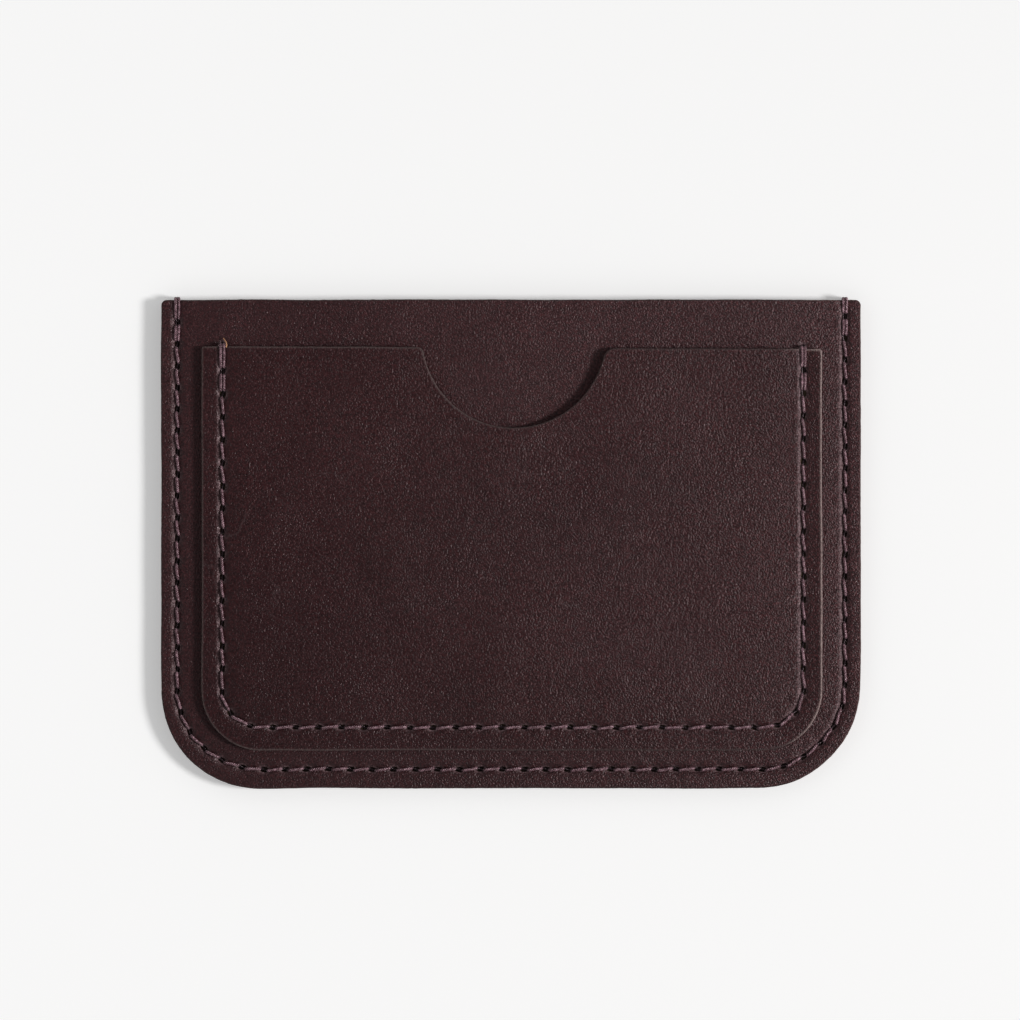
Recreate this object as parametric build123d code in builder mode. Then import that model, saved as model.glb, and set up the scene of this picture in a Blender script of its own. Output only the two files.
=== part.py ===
from build123d import *
import os
from math import atan2, degrees, hypot, sqrt

os.makedirs("parts", exist_ok=True)

# A flat card sleeve of cut-and-sewn leather, lying on its back.
# Frame: X along the long side, +Y towards the open mouths, +Z out of the front.
# Origin: centre of the outline, on the back face.  Millimetres.

# ---------------------------------------------------------------- panels
body_left, body_right = -52.5, 52.5  # outline of the front and back panels
body_bottom, body_top = -36.65, 36.65
body_radius_left, body_radius_right = 14.7, 15.75  # bottom corners, cut by hand
body_radius_top = 0.85
body_thickness = 1.2

pocket_left, pocket_right = -46.35, 46.57  # outline of the front pocket panel
pocket_bottom = -30.9
pocket_top_left, pocket_top_right = 29.6, 29.2
pocket_radius_left, pocket_radius_right = 9.0, 9.0
pocket_radius_top = 0.4
pocket_thickness = 1.0

notch_x, notch_y, notch_radius = 0.45, 31.26, 13.8  # thumb notch in the mouth
notch_lip_left, notch_lip_right = 1.0, 1.9

adhesive_thickness = 0.1
card_gap = 0.8  # clear height of each pocket, for one card of 0.76
edge_round = 0.25

# ---------------------------------------------------------------- seams
thread_radius = 0.2
leg_offset = 0.21  # half the spacing of the two legs in a hole
bend_radius = 0.25  # where a stitch turns down into its hole
hole_length, hole_width = 0.9, 0.5
tack_hole_radius = 0.53  # back-tacked holes hold four legs
groove_width = 1.0
groove_front = 0.15  # depth pulled in by the stitches on a face
groove_back = 0.42  # depth that takes the lower thread whole

outer_seam_left, outer_seam_right = -50.1, 50.1
outer_seam_bottom = -33.8
outer_seam_radius_left, outer_seam_radius_right = 12.2, 12.8
outer_first_hole, outer_last_hole = 33.3, 34.2  # heights of the end holes
outer_stitches = 69
outer_wrap = body_top + 0.25  # the end stitches wrap over the mouth's edge

pocket_seam_left, pocket_seam_right = -43.27, 43.8
pocket_seam_bottom = -27.45
pocket_seam_radius = 5.8
pocket_first_hole, pocket_last_hole = 25.95, 26.1
pocket_stitches = 55
pocket_wrap_left = pocket_top_left + 0.32
pocket_wrap_right = pocket_top_right + 0.32

# ---------------------------------------------------------------- formed leather
body_foot, body_crown = 3.6, 5.3  # inset of the front panel's raised field
pocket_foot, pocket_crown = 0.3, 0.72  # inset from the pocket seam's centre line

# ---------------------------------------------------------------- levels
z_outer_adhesive = body_thickness
z_front = z_outer_adhesive + adhesive_thickness  # underside of the front margin
z_margin = z_front + body_thickness  # top of the front margin
body_rise = card_gap - adhesive_thickness
z_field_under = z_front + body_rise  # underside of the raised field
z_field = z_margin + body_rise  # top of the raised field
z_pocket = z_field + adhesive_thickness  # underside of the pocket's margin
z_pocket_margin = z_pocket + pocket_thickness
pocket_rise = card_gap - adhesive_thickness
z_top = z_pocket_margin + pocket_rise


# ---------------------------------------------------------------- outlines
with BuildSketch() as body_outline:
    with BuildLine():
        FilletPolyline(
            (body_left, body_top),
            (body_left, body_bottom),
            (body_right, body_bottom),
            (body_right, body_top),
            radius=[
                body_radius_top,
                body_radius_left,
                body_radius_right,
                body_radius_top,
            ],
            close=True,
        )
    make_face()

# The raised field runs out past the mouth and is trimmed to the outline.
with BuildSketch() as body_field_foot:
    with BuildLine():
        FilletPolyline(
            (body_left + body_foot, body_top + 3),
            (body_left + body_foot, body_bottom + body_foot),
            (body_right - body_foot, body_bottom + body_foot),
            (body_right - body_foot, body_top + 3),
            radius=[
                0.5,
                body_radius_left - body_foot,
                body_radius_right - body_foot,
                0.5,
            ],
            close=True,
        )
    make_face()

with BuildSketch() as body_field_crown:
    with BuildLine():
        FilletPolyline(
            (body_left + body_crown, body_top + 3),
            (body_left + body_crown, body_bottom + body_crown),
            (body_right - body_crown, body_bottom + body_crown),
            (body_right - body_crown, body_top + 3),
            radius=[
                0.5,
                body_radius_left - body_crown,
                body_radius_right - body_crown,
                0.5,
            ],
            close=True,
        )
    make_face()

with BuildSketch() as pocket_outline:
    with BuildLine():
        FilletPolyline(
            (pocket_left, pocket_top_left),
            (pocket_left, pocket_bottom),
            (pocket_right, pocket_bottom),
            (pocket_right, pocket_top_right),
            radius=[
                pocket_radius_top,
                pocket_radius_left,
                pocket_radius_right,
                pocket_radius_top,
            ],
            close=True,
        )
    make_face()
    with Locations((notch_x, notch_y)):
        Circle(notch_radius, mode=Mode.SUBTRACT)
    lips = (
        pocket_outline.vertices()
        .filter_by(lambda v: abs(v.X - notch_x) < notch_radius + 0.5 and v.Y > 25)
        .sort_by(Axis.X)
    )
    fillet(lips[0], notch_lip_left)
    lips = (
        pocket_outline.vertices()
        .filter_by(lambda v: 8 < v.X - notch_x < notch_radius + 0.5 and v.Y > 25)
        .sort_by(Axis.X)
    )
    fillet(lips[-1], notch_lip_right)

with BuildSketch() as pocket_field_foot:
    with BuildLine():
        FilletPolyline(
            (pocket_seam_left + pocket_foot, pocket_top_left + 3),
            (pocket_seam_left + pocket_foot, pocket_seam_bottom + pocket_foot),
            (pocket_seam_right - pocket_foot, pocket_seam_bottom + pocket_foot),
            (pocket_seam_right - pocket_foot, pocket_top_left + 3),
            radius=[
                0.5,
                pocket_seam_radius - pocket_foot,
                pocket_seam_radius - pocket_foot,
                0.5,
            ],
            close=True,
        )
    make_face()

with BuildSketch() as pocket_field_crown:
    with BuildLine():
        FilletPolyline(
            (pocket_seam_left + pocket_crown, pocket_top_left + 3),
            (pocket_seam_left + pocket_crown, pocket_seam_bottom + pocket_crown),
            (pocket_seam_right - pocket_crown, pocket_seam_bottom + pocket_crown),
            (pocket_seam_right - pocket_crown, pocket_top_left + 3),
            radius=[
                0.5,
                pocket_seam_radius - pocket_crown,
                pocket_seam_radius - pocket_crown,
                0.5,
            ],
            close=True,
        )
    make_face()


# ---------------------------------------------------------------- seam lines
with BuildLine() as outer_seam_line:
    FilletPolyline(
        (outer_seam_left, body_top + 1),
        (outer_seam_left, outer_seam_bottom),
        (outer_seam_right, outer_seam_bottom),
        (outer_seam_right, body_top + 1),
        radius=[outer_seam_radius_left, outer_seam_radius_right],
    )

with BuildLine() as pocket_seam_line:
    FilletPolyline(
        (pocket_seam_left, pocket_top_left + 1),
        (pocket_seam_left, pocket_seam_bottom),
        (pocket_seam_right, pocket_seam_bottom),
        (pocket_seam_right, pocket_top_left + 1),
        radius=[pocket_seam_radius, pocket_seam_radius],
    )


def seam_holes(line, top, first, last, stitches, wrap_first, wrap_last):
    """Points and directions (x, y, tx, ty) of every needle position, end to end."""
    wire = line.wire()
    start = top - first
    end = wire.length - (top - last)
    x_first, x_last = (wire @ 0).X, (wire @ 1).X
    holes = [(x_first, wrap_first, 0.0, -1.0)]
    for i in range(stitches + 1):
        s = start + (end - start) * i / stitches
        p = wire.position_at(s, position_mode=PositionMode.LENGTH)
        t = wire.tangent_at(s, position_mode=PositionMode.LENGTH)
        holes.append((p.X, p.Y, t.X, t.Y))
    holes.append((x_last, wrap_last, 0.0, 1.0))
    return holes


outer_holes = seam_holes(
    outer_seam_line,
    body_top + 1,
    outer_first_hole,
    outer_last_hole,
    outer_stitches,
    outer_wrap,
    outer_wrap,
)
pocket_holes = seam_holes(
    pocket_seam_line,
    pocket_top_left + 1,
    pocket_first_hole,
    pocket_last_hole,
    pocket_stitches,
    pocket_wrap_left,
    pocket_wrap_right,
)


def slots(holes):
    """Locations of the single-stitch holes, turned along the seam."""
    return [
        Location((x, y, 0), (0, 0, degrees(atan2(ty, tx))))
        for x, y, tx, ty in holes[3:-3]
    ]


def tacks(holes, wraps):
    """Locations of the back-tacked holes at the two ends."""
    ends = holes[1:3] + holes[-3:-1]
    if wraps:
        ends = [holes[0]] + ends + [holes[-1]]
    return [Location((x, y, 0)) for x, y, tx, ty in ends]


with BuildSketch() as outer_hole_pattern:
    with Locations(*slots(outer_holes)):
        SlotOverall(hole_length, hole_width)
    with Locations(*tacks(outer_holes, False)):
        Circle(tack_hole_radius)

with BuildSketch() as pocket_hole_pattern:
    with Locations(*slots(pocket_holes)):
        SlotOverall(hole_length, hole_width)
    with Locations(*tacks(pocket_holes, False)):
        Circle(tack_hole_radius)

# Through the front panel the end stitches have one more hole, just past the
# pocket's mouth.
with BuildSketch() as pocket_hole_pattern_front:
    with Locations(*slots(pocket_holes)):
        SlotOverall(hole_length, hole_width)
    with Locations(*tacks(pocket_holes, True)):
        Circle(tack_hole_radius)

with BuildSketch() as outer_groove:
    trace(outer_seam_line.line, line_width=groove_width)

with BuildSketch() as pocket_groove:
    trace(pocket_seam_line.line, line_width=groove_width)


# ---------------------------------------------------------------- back panel
with BuildPart() as back_panel:
    with BuildSketch(Plane.XY):
        add(body_outline.sketch)
    extrude(amount=body_thickness)
    fillet(back_panel.faces().sort_by(Axis.Z)[0].edges(), edge_round)
    # channel in the back face that holds the lower thread
    with BuildSketch(Plane.XY):
        add(outer_groove.sketch)
    extrude(amount=groove_back, mode=Mode.SUBTRACT)
    with BuildSketch(Plane.XY):
        add(outer_hole_pattern.sketch)
    extrude(amount=body_thickness, mode=Mode.SUBTRACT)
back_panel.part.label = "back_panel"

# ---------------------------------------------------------------- adhesive in the outer seam
with BuildPart() as outer_seam_adhesive:
    with BuildSketch(Plane.XY.offset(z_outer_adhesive)) as outer_band:
        add(body_outline.sketch)
        offset(amount=-0.3, mode=Mode.REPLACE)
        add(body_field_foot.sketch, mode=Mode.SUBTRACT)
        add(outer_hole_pattern.sketch, mode=Mode.SUBTRACT)
    extrude(amount=adhesive_thickness)
outer_seam_adhesive.part.label = "outer_seam_adhesive"

# ---------------------------------------------------------------- front panel
with BuildPart() as front_panel:
    with BuildSketch(Plane.XY.offset(z_front)):
        add(body_outline.sketch)
    extrude(amount=body_thickness)
    fillet(front_panel.faces().sort_by(Axis.Z)[-1].edges(), edge_round)
    # raised field, open at the mouth, that leaves room for a card behind it
    with BuildSketch(Plane.XY.offset(z_margin)):
        add(body_field_foot.sketch)
    with BuildSketch(Plane.XY.offset(z_field)):
        add(body_field_crown.sketch)
    loft(ruled=True)
    with BuildSketch(Plane.XY.offset(z_front)):
        add(body_outline.sketch)
    extrude(amount=z_field - z_front, mode=Mode.INTERSECT)
    with BuildSketch(Plane.XY.offset(z_front)):
        add(body_field_foot.sketch)
    with BuildSketch(Plane.XY.offset(z_field_under)):
        add(body_field_crown.sketch)
    loft(ruled=True, mode=Mode.SUBTRACT)
    # stitches of the outer seam lie in a shallow groove
    with BuildSketch(Plane.XY.offset(z_margin - groove_front)):
        add(outer_groove.sketch)
    extrude(amount=groove_front, mode=Mode.SUBTRACT)
    # the pocket seam's lower thread is let into the underside of the field
    with BuildSketch(Plane.XY.offset(z_field_under)):
        add(pocket_groove.sketch)
    extrude(amount=groove_back, mode=Mode.SUBTRACT)
    with BuildSketch(Plane.XY.offset(z_front)):
        add(outer_hole_pattern.sketch)
    extrude(amount=body_thickness, mode=Mode.SUBTRACT)
    with BuildSketch(Plane.XY.offset(z_field_under)):
        add(pocket_hole_pattern_front.sketch)
    extrude(amount=body_thickness, mode=Mode.SUBTRACT)
front_panel.part.label = "front_panel"

# ---------------------------------------------------------------- adhesive in the pocket seam
with BuildPart() as pocket_seam_adhesive:
    with BuildSketch(Plane.XY.offset(z_field)) as pocket_band:
        add(pocket_outline.sketch)
        offset(amount=-0.25, mode=Mode.REPLACE)
        add(pocket_field_foot.sketch, mode=Mode.SUBTRACT)
        add(pocket_hole_pattern.sketch, mode=Mode.SUBTRACT)
    extrude(amount=adhesive_thickness)
pocket_seam_adhesive.part.label = "pocket_seam_adhesive"

# ---------------------------------------------------------------- pocket panel
with BuildPart() as pocket_panel:
    with BuildSketch(Plane.XY.offset(z_pocket)):
        add(pocket_outline.sketch)
    extrude(amount=pocket_thickness)
    with BuildSketch(Plane.XY.offset(z_pocket_margin)):
        add(pocket_field_foot.sketch)
    with BuildSketch(Plane.XY.offset(z_top)):
        add(pocket_field_crown.sketch)
    loft(ruled=True)
    with BuildSketch(Plane.XY.offset(z_pocket)):
        add(pocket_outline.sketch)
    extrude(amount=z_top - z_pocket, mode=Mode.INTERSECT)
    with BuildSketch(Plane.XY.offset(z_pocket)):
        add(pocket_field_foot.sketch)
    with BuildSketch(Plane.XY.offset(z_pocket + pocket_rise)):
        add(pocket_field_crown.sketch)
    loft(ruled=True, mode=Mode.SUBTRACT)
    with BuildSketch(Plane.XY.offset(z_pocket_margin - groove_front)):
        add(pocket_groove.sketch)
    extrude(amount=groove_front + pocket_rise, mode=Mode.SUBTRACT)
    with BuildSketch(Plane.XY.offset(z_pocket)):
        add(pocket_hole_pattern.sketch)
    extrude(amount=pocket_thickness + pocket_rise, mode=Mode.SUBTRACT)
pocket_panel.part.label = "pocket_panel"


# ---------------------------------------------------------------- threads
def thread_posts(holes):
    """Legs of one thread in sewing order, as (departure, arrival) pairs of (x, y).

    The machine starts two holes in, sews back over the edge, then forward again
    beside its own stitches, along the whole seam, and tacks the far end likewise.
    """
    o = leg_offset
    last = len(holes) - 1

    def leg(i, along, across):
        x, y, tx, ty = holes[i]
        if i in (0, last):
            along = 0
        return (x + o * (along * tx - across * ty), y + o * (along * ty + across * tx))

    passes = []
    for i in (2, 1):
        passes.append((leg(i, -1, -1), leg(i - 1, 1, -1)))
    for i in (0, 1):
        passes.append((leg(i, 1, 1), leg(i + 1, -1, 1)))
    for i in range(2, last - 2):
        passes.append((leg(i, 1, 0), leg(i + 1, -1, 0)))
    for i in (last - 2, last - 1):
        passes.append((leg(i, 1, 1), leg(i + 1, -1, 1)))
    for i in (last, last - 1):
        passes.append((leg(i, -1, -1), leg(i - 1, 1, -1)))
    return passes


def thread_route(holes, z_run, z_meet):
    """Line and arc edges of one thread: runs at z_run, loops at z_meet."""
    passes = thread_posts(holes)
    up = 1.0 if z_run > z_meet else -1.0
    r = bend_radius
    h = r * sqrt(0.5)
    edges = []
    z_from = z_meet + up * 0.1
    for n, (a, b) in enumerate(passes):
        span = hypot(b[0] - a[0], b[1] - a[1])
        ux, uy = (b[0] - a[0]) / span, (b[1] - a[1]) / span
        zc = z_run - up * r
        edges.append(Edge.make_line((*a, z_from), (*a, zc)))
        p1 = (a[0] + ux * r, a[1] + uy * r, z_run)
        m1 = (a[0] + ux * (r - h), a[1] + uy * (r - h), zc + up * h)
        edges.append(Edge.make_three_point_arc((*a, zc), m1, p1))
        p2 = (b[0] - ux * r, b[1] - uy * r, z_run)
        m2 = (b[0] - ux * (r - h), b[1] - uy * (r - h), zc + up * h)
        edges.append(Edge.make_line(p1, p2))
        edges.append(Edge.make_three_point_arc(p2, m2, (*b, zc)))
        if n == len(passes) - 1:
            edges.append(Edge.make_line((*b, zc), (*b, z_meet + up * 0.1)))
            break
        c = passes[n + 1][0]
        loop = hypot(c[0] - b[0], c[1] - b[1]) / 2
        z_loop = z_meet + up * loop
        edges.append(Edge.make_line((*b, zc), (*b, z_loop)))
        mid = ((b[0] + c[0]) / 2, (b[1] + c[1]) / 2, z_meet)
        edges.append(Edge.make_three_point_arc((*b, z_loop), mid, (*c, z_loop)))
        z_from = z_loop
    return edges


clear = thread_radius + 0.01  # from the level where the two threads meet
outer_meet = (z_margin) / 2
pocket_meet = (z_field_under + z_pocket_margin) / 2

outer_needle_route = thread_route(
    outer_holes, z_margin - groove_front + thread_radius, outer_meet + clear
)
outer_bobbin_route = thread_route(
    outer_holes, groove_back - thread_radius, outer_meet - clear
)
pocket_needle_route = thread_route(
    pocket_holes, z_pocket_margin - groove_front + thread_radius, pocket_meet + clear
)
pocket_bobbin_route = thread_route(
    pocket_holes, z_field_under + groove_back - thread_radius, pocket_meet - clear
)

with BuildPart() as outer_seam_needle_thread:
    with BuildLine() as outer_needle_path:
        add(outer_needle_route)
    with BuildSketch(Plane(outer_needle_route[0] @ 0, z_dir=(0, 0, 1))):
        Circle(thread_radius)
    sweep(path=Wire(outer_needle_route))
outer_seam_needle_thread.part.label = "outer_seam_needle_thread"

with BuildPart() as outer_seam_bobbin_thread:
    with BuildLine() as outer_bobbin_path:
        add(outer_bobbin_route)
    with BuildSketch(Plane(outer_bobbin_route[0] @ 0, z_dir=(0, 0, -1))):
        Circle(thread_radius)
    sweep(path=Wire(outer_bobbin_route))
outer_seam_bobbin_thread.part.label = "outer_seam_bobbin_thread"

with BuildPart() as pocket_seam_needle_thread:
    with BuildLine() as pocket_needle_path:
        add(pocket_needle_route)
    with BuildSketch(Plane(pocket_needle_route[0] @ 0, z_dir=(0, 0, 1))):
        Circle(thread_radius)
    sweep(path=Wire(pocket_needle_route))
pocket_seam_needle_thread.part.label = "pocket_seam_needle_thread"

with BuildPart() as pocket_seam_bobbin_thread:
    with BuildLine() as pocket_bobbin_path:
        add(pocket_bobbin_route)
    with BuildSketch(Plane(pocket_bobbin_route[0] @ 0, z_dir=(0, 0, -1))):
        Circle(thread_radius)
    sweep(path=Wire(pocket_bobbin_route))
pocket_seam_bobbin_thread.part.label = "pocket_seam_bobbin_thread"

# ---------------------------------------------------------------- written pieces
export_step(back_panel.part, "parts/back_panel.step")
export_step(front_panel.part, "parts/front_panel.step")
export_step(pocket_panel.part, "parts/pocket_panel.step")
export_step(outer_seam_adhesive.part, "parts/outer_seam_adhesive.step")
export_step(pocket_seam_adhesive.part, "parts/pocket_seam_adhesive.step")
export_step(outer_seam_needle_thread.part, "parts/outer_seam_needle_thread.step")
export_step(outer_seam_bobbin_thread.part, "parts/outer_seam_bobbin_thread.step")
export_step(pocket_seam_needle_thread.part, "parts/pocket_seam_needle_thread.step")
export_step(pocket_seam_bobbin_thread.part, "parts/pocket_seam_bobbin_thread.step")

outer_wire_length = sum(e.length for e in outer_needle_route)
pocket_wire_length = sum(e.length for e in pocket_needle_route)
print("thread lengths, upper: outer", round(outer_wire_length, 1), "pocket", round(pocket_wire_length, 1))
print(
    "volume over section x length:",
    round(outer_seam_needle_thread.part.volume / (outer_wire_length * 3.14159265 * thread_radius**2), 4),
    round(pocket_seam_needle_thread.part.volume / (pocket_wire_length * 3.14159265 * thread_radius**2), 4),
)
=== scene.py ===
import math

import bpy
import numpy as np
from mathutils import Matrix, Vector
from mathutils.geometry import delaunay_2d_cdt


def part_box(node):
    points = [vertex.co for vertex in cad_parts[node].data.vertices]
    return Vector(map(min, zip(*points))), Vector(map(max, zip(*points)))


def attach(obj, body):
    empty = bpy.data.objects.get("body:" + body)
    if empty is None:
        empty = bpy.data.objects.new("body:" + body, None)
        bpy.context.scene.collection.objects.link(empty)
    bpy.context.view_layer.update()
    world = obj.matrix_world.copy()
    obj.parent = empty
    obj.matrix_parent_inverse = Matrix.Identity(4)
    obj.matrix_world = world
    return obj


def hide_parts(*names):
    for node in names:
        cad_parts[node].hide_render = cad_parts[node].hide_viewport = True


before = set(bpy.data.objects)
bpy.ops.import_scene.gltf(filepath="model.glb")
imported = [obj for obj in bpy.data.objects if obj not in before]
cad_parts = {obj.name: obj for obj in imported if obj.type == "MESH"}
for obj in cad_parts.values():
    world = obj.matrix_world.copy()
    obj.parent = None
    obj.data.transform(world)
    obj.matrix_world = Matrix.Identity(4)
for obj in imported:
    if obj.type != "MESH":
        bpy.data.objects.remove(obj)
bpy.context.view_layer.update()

MM = 0.001


# ============================================================ sizes (mm)
def node_box(name):
    lo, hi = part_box(name)
    return np.array(lo) / MM, np.array(hi) / MM


body_lo, body_hi = node_box("front_panel")
back_lo, back_hi = node_box("back_panel")
pocket_lo, pocket_hi = node_box("pocket_panel")

BODY_R_LEFT, BODY_R_RIGHT, BODY_R_TOP = 14.7, 15.75, 0.85
POCKET_R, POCKET_R_TOP = 9.0, 0.4
POCKET_TOP_LEFT = pocket_hi[1]
POCKET_TOP_RIGHT = pocket_hi[1] - 0.4
NOTCH_X, NOTCH_Y, NOTCH_R = 0.45, 31.26, 13.8
LIP_LEFT, LIP_RIGHT = 1.0, 1.9

T_BODY = 1.2
T_POCKET = 1.0
GLUE = 0.1
Z_BACK_TOP = T_BODY
Z_FRONT = Z_BACK_TOP + GLUE

OUT_L, OUT_R, OUT_B, OUT_RL, OUT_RR = -50.1, 50.1, -33.8, 12.2, 12.8
OUT_FIRST, OUT_LAST, OUT_N = 33.3, 34.2, 69
POC_L, POC_R, POC_B, POC_RAD = -43.27, 43.8, -27.45, 5.8
POC_FIRST, POC_LAST, POC_N = 25.95, 26.1, 55

THREAD_R = 0.23


# ============================================================ plane geometry
def seg(p, q, step):
    p, q = np.array(p, float), np.array(q, float)
    n = max(1, int(round(np.linalg.norm(q - p) / step)))
    return [p + (q - p) * i / n for i in range(n)]


def arc(c, r, a0, a1, step):
    n = max(3, int(round(abs(a1 - a0) * r / step)))
    return [
        np.array([c[0] + r * math.cos(a), c[1] + r * math.sin(a)])
        for a in (a0 + (a1 - a0) * i / n for i in range(n))
    ]


def body_loop(inset, line_step, arc_step, top=None, r_top=BODY_R_TOP):
    """Counter-clockwise outline of the front and back panels, set in by inset."""
    l, b = body_lo[0] + inset, body_lo[1] + inset
    r, t = body_hi[0] - inset, (body_hi[1] - inset if top is None else top)
    rl, rr = BODY_R_LEFT - inset, BODY_R_RIGHT - inset
    k = max(0.05, r_top - max(inset, 0))
    h = math.pi
    pts = []
    pts += arc((l + k, t - k), k, h / 2, h, 0.16)
    pts += seg((l, t - k), (l, b + rl), line_step)
    pts += arc((l + rl, b + rl), rl, h, 1.5 * h, arc_step)
    pts += seg((l + rl, b), (r - rr, b), line_step)
    pts += arc((r - rr, b + rr), rr, 1.5 * h, 2 * h, arc_step)
    pts += seg((r, b + rr), (r, t - k), line_step)
    pts += arc((r - k, t - k), k, 0, h / 2, 0.16)
    pts += seg((r - k, t), (l + k, t), line_step)
    return np.array(pts)


def mouth_y(x):
    f = (x - pocket_lo[0]) / (pocket_hi[0] - pocket_lo[0])
    return POCKET_TOP_LEFT + (POCKET_TOP_RIGHT - POCKET_TOP_LEFT) * f


def pocket_loop(line_step, arc_step):
    """Counter-clockwise outline of the pocket panel with its thumb notch."""
    l, b, r = pocket_lo[0], pocket_lo[1], pocket_hi[0]
    tl, tr = POCKET_TOP_LEFT, POCKET_TOP_RIGHT
    k, R, h = POCKET_R_TOP, POCKET_R, math.pi

    def lip(x0, rad, side):
        y = mouth_y(x0)
        cy = y - rad
        cx = NOTCH_X + side * math.sqrt((NOTCH_R + rad) ** 2 - (cy - NOTCH_Y) ** 2)
        return cx, cy, y

    lx, ly, lt = lip(-14.0, LIP_LEFT, -1)
    rx, ry, rt = lip(15.0, LIP_RIGHT, 1)
    a_r = math.atan2(ry - NOTCH_Y, rx - NOTCH_X)  # from the notch's centre to each lip
    a_l = math.atan2(ly - NOTCH_Y, lx - NOTCH_X)
    pts = []
    pts += arc((l + k, tl - k), k, h / 2, h, 0.12)
    pts += seg((l, tl - k), (l, b + R), line_step)
    pts += arc((l + R, b + R), R, h, 1.5 * h, arc_step)
    pts += seg((l + R, b), (r - R, b), line_step)
    pts += arc((r - R, b + R), R, 1.5 * h, 2 * h, arc_step)
    pts += seg((r, b + R), (r, tr - k), line_step)
    pts += arc((r - k, tr - k), k, 0, h / 2, 0.12)
    pts += seg((r - k, tr), (rx, rt), line_step)
    pts += arc((rx, ry), LIP_RIGHT, h / 2, a_r + h, 0.2)
    pts += arc((NOTCH_X, NOTCH_Y), NOTCH_R, a_r, a_l - 2 * h if a_l > 0 else a_l, 0.3)
    a_in = (a_l + h) if a_l + h < h else a_l - h
    pts += arc((lx, ly), LIP_LEFT, a_in, h / 2, 0.15)
    pts += seg((lx, lt), (l + k, tl), line_step)
    return np.array(pts)


def loop_normals(loop):
    """Outward normals of a counter-clockwise loop."""
    t = np.roll(loop, -1, 0) - np.roll(loop, 1, 0)
    t /= np.linalg.norm(t, axis=1)[:, None]
    return np.stack([t[:, 1], -t[:, 0]], 1)


class Waves:
    """Smooth, repeatable noise: a sum of plane waves with set wavelengths."""

    def __init__(self, seed, low, high, n=24):
        r = np.random.default_rng(seed)
        lam = np.exp(r.uniform(math.log(low), math.log(high), n))
        a = r.uniform(0, 2 * math.pi, n)
        self.k = np.stack([np.cos(a), np.sin(a)]) * 2 * math.pi / lam
        self.p = r.uniform(0, 2 * math.pi, n)
        self.w = 1.0 / math.sqrt(n / 2)

    def __call__(self, xy):
        return np.sin(np.asarray(xy) @ self.k + self.p).sum(-1) * self.w


def wobble(loop, slow, fine, seed):
    """Hand-cut unevenness along the edge."""
    n = loop_normals(loop)
    d = slow * Waves(seed, 9, 40)(loop) + fine * Waves(seed + 1, 0.9, 2.6)(loop)
    return loop + n * d[:, None]


def polyline_distance(points, line, closed):
    """Distance from each point to a polyline, and the arc length of the nearest spot."""
    a = line
    b = np.roll(line, -1, 0) if closed else line[1:]
    a = a if closed else line[:-1]
    ab = b - a
    l2 = (ab**2).sum(1)
    start = np.concatenate([[0], np.cumsum(np.sqrt(l2))])[:-1]
    best = np.full(len(points), 1e9)
    where = np.zeros(len(points))
    side = np.zeros(len(points))
    for i in range(0, len(points), 4000):
        p = points[i : i + 4000]
        ap = p[:, None] - a[None]
        t = np.clip((ap * ab).sum(2) / l2, 0, 1)
        d = np.linalg.norm(ap - t[..., None] * ab, axis=2)
        j = d.argmin(1)
        r = np.arange(len(p))
        best[i : i + 4000] = d[r, j]
        where[i : i + 4000] = start[j] + t[r, j] * np.sqrt(l2[j])
        cross = ab[j, 0] * ap[r, j, 1] - ab[j, 1] * ap[r, j, 0]
        side[i : i + 4000] = np.sign(cross)
    return best, where, side


def inside(points, loop):
    x, y = points[:, 0], points[:, 1]
    res = np.zeros(len(points), bool)
    xa, ya = loop[:, 0], loop[:, 1]
    xb, yb = np.roll(xa, -1), np.roll(ya, -1)
    for i in range(len(loop)):
        if ya[i] == yb[i]:
            continue
        cond = (ya[i] > y) != (yb[i] > y)
        xi = (xb[i] - xa[i]) * (y - ya[i]) / (yb[i] - ya[i]) + xa[i]
        res ^= cond & (x < xi)
    return res


def smooth(t):
    t = np.clip(t, 0, 1)
    return t * t * (3 - 2 * t)


# ============================================================ seams
def seam_line(l, r, b, rl, rr, top):
    h = math.pi
    pts = seg((l, top), (l, b + rl), 0.5)
    pts += arc((l + rl, b + rl), rl, h, 1.5 * h, 0.25)
    pts += seg((l + rl, b), (r - rr, b), 0.5)
    pts += arc((r - rr, b + rr), rr, 1.5 * h, 2 * h, 0.25)
    pts += seg((r, b + rr), (r, top), 0.5)
    return np.array(pts + [np.array([r, top])])


def along(line, s):
    d = np.linalg.norm(np.diff(line, axis=0), axis=1)
    c = np.concatenate([[0], np.cumsum(d)])
    s = np.asarray(s, float)
    p = np.stack([np.interp(s, c, line[:, 0]), np.interp(s, c, line[:, 1])], -1)
    e = 0.15
    q = np.stack(
        [np.interp(s + e, c, line[:, 0]), np.interp(s + e, c, line[:, 1])], -1
    ) - np.stack([np.interp(s - e, c, line[:, 0]), np.interp(s - e, c, line[:, 1])], -1)
    q /= np.linalg.norm(q, axis=-1)[..., None]
    return p, q, c[-1]


def seam_holes(line, top, first, last, count, wrap_l, wrap_r, seed):
    """Needle positions (x, y, tx, ty), the first and last being the wraps at the mouth."""
    r = np.random.default_rng(seed)
    _, _, total = along(line, 0.0)
    s = np.linspace(top - first, total - (top - last), count + 1)
    s[1:-1] += r.normal(0, 0.045, count - 1)
    p, t, _ = along(line, s)
    n = np.stack([-t[:, 1], t[:, 0]], 1)
    p = p + n * r.normal(0, 0.035, count + 1)[:, None]
    rows = np.hstack([p, t])
    start = np.array([[line[0, 0], wrap_l, 0, -1.0]])
    end = np.array([[line[-1, 0], wrap_r, 0, 1.0]])
    return np.vstack([start, rows, end])


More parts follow.
